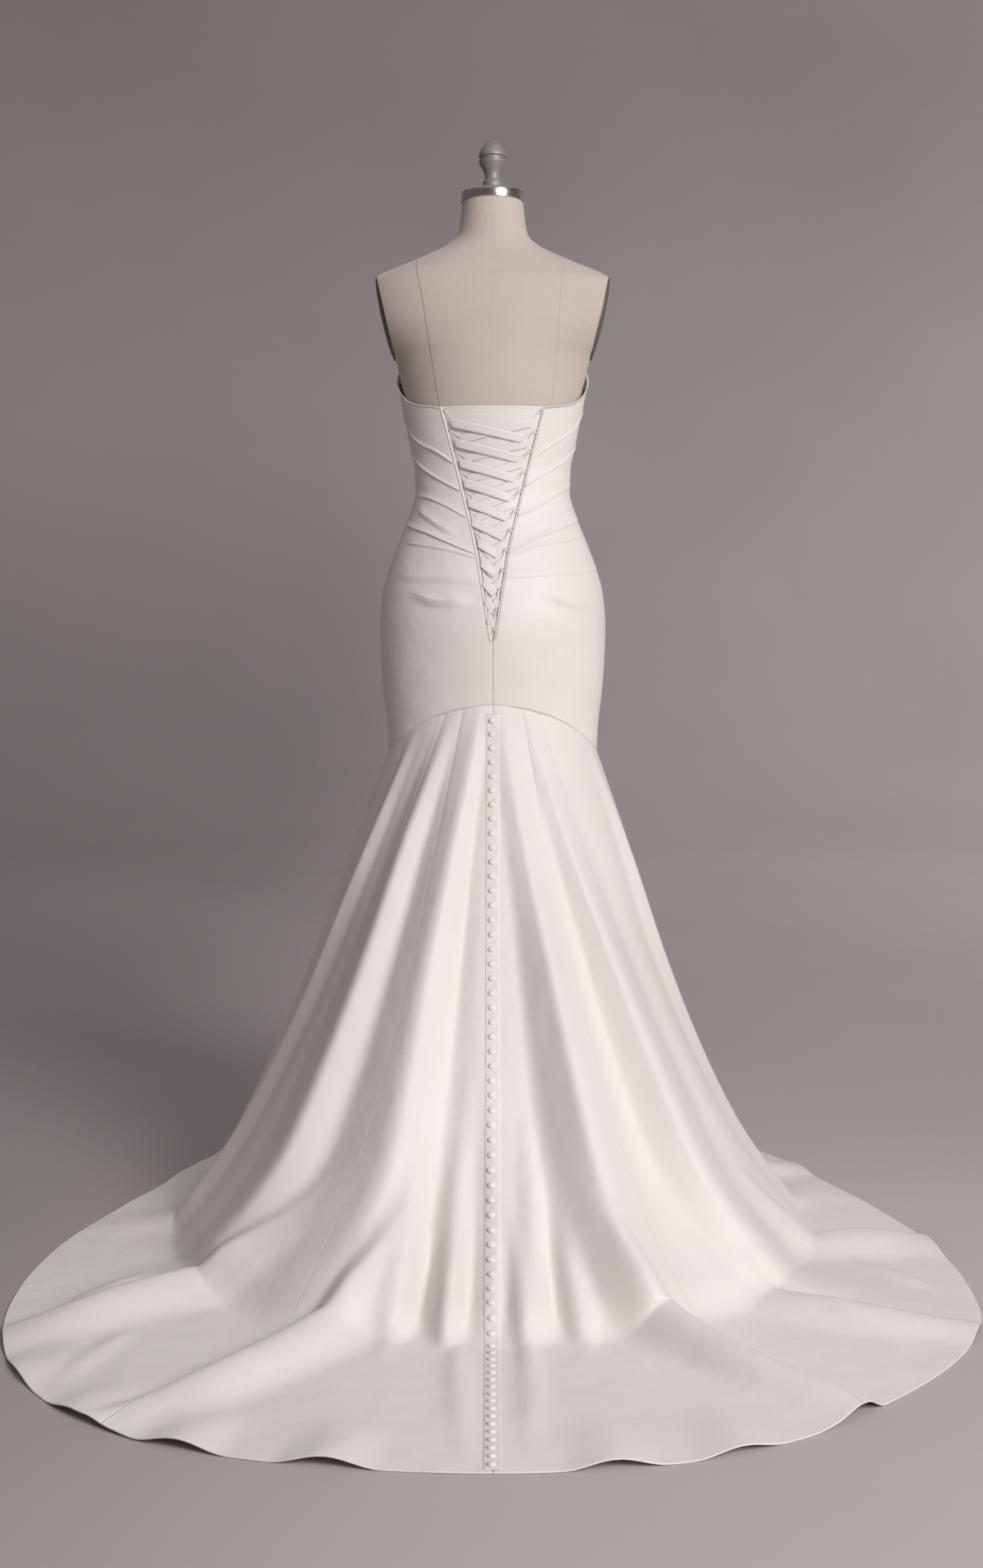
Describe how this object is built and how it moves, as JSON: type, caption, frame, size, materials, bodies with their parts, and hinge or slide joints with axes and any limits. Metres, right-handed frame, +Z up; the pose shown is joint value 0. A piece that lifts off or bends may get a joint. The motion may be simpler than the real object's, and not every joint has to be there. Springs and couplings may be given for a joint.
{
  "type": "wedding dress on dress form",
  "caption": "Strapless trumpet wedding dress with draped bodice, lace-up back, buttoned skirt and train, on a limbless dress form with a stand.",
  "frame": {"origin": "middle of the underside of the stand's round foot, on the floor", "axes": "+Z up; the wearer's front faces -Y, the wearer's left is +X, and the train lies towards +Y"},
  "size_m": [1.313, 1.62, 1.6715],
  "materials": {
    "satin": "heavy ivory satin",
    "ribbon": "ivory satin ribbon",
    "linen": "natural woven linen",
    "brushed_metal": "brushed",
    "dark_plate": "dark satin paint",
    "stand_steel": "black satin paint"
  },
  "bodies": {
    "root": {"front_panel": "satin", "back_panel_left": "satin", "back_panel_right": "satin", "modesty_panel": "satin", "loop_tape_left": "satin", "loop_tape_right": "satin", "skirt_back_left": "satin", "skirt_back_right": "satin", "skirt_mid_left": "satin", "skirt_mid_right": "satin", "skirt_side_left": "satin", "skirt_side_right": "satin", "skirt_front": "satin", "button_placket": "satin", "lace_a": "ribbon", "lace_b": "ribbon", "form_torso": "linen", "form_neck_cap": "brushed_metal", "form_finial": "brushed_metal", "arm_plate_left": "dark_plate", "arm_plate_right": "dark_plate", "stand_pole": "stand_steel", "stand_base": "stand_steel"}
  },
  "joints": []
}
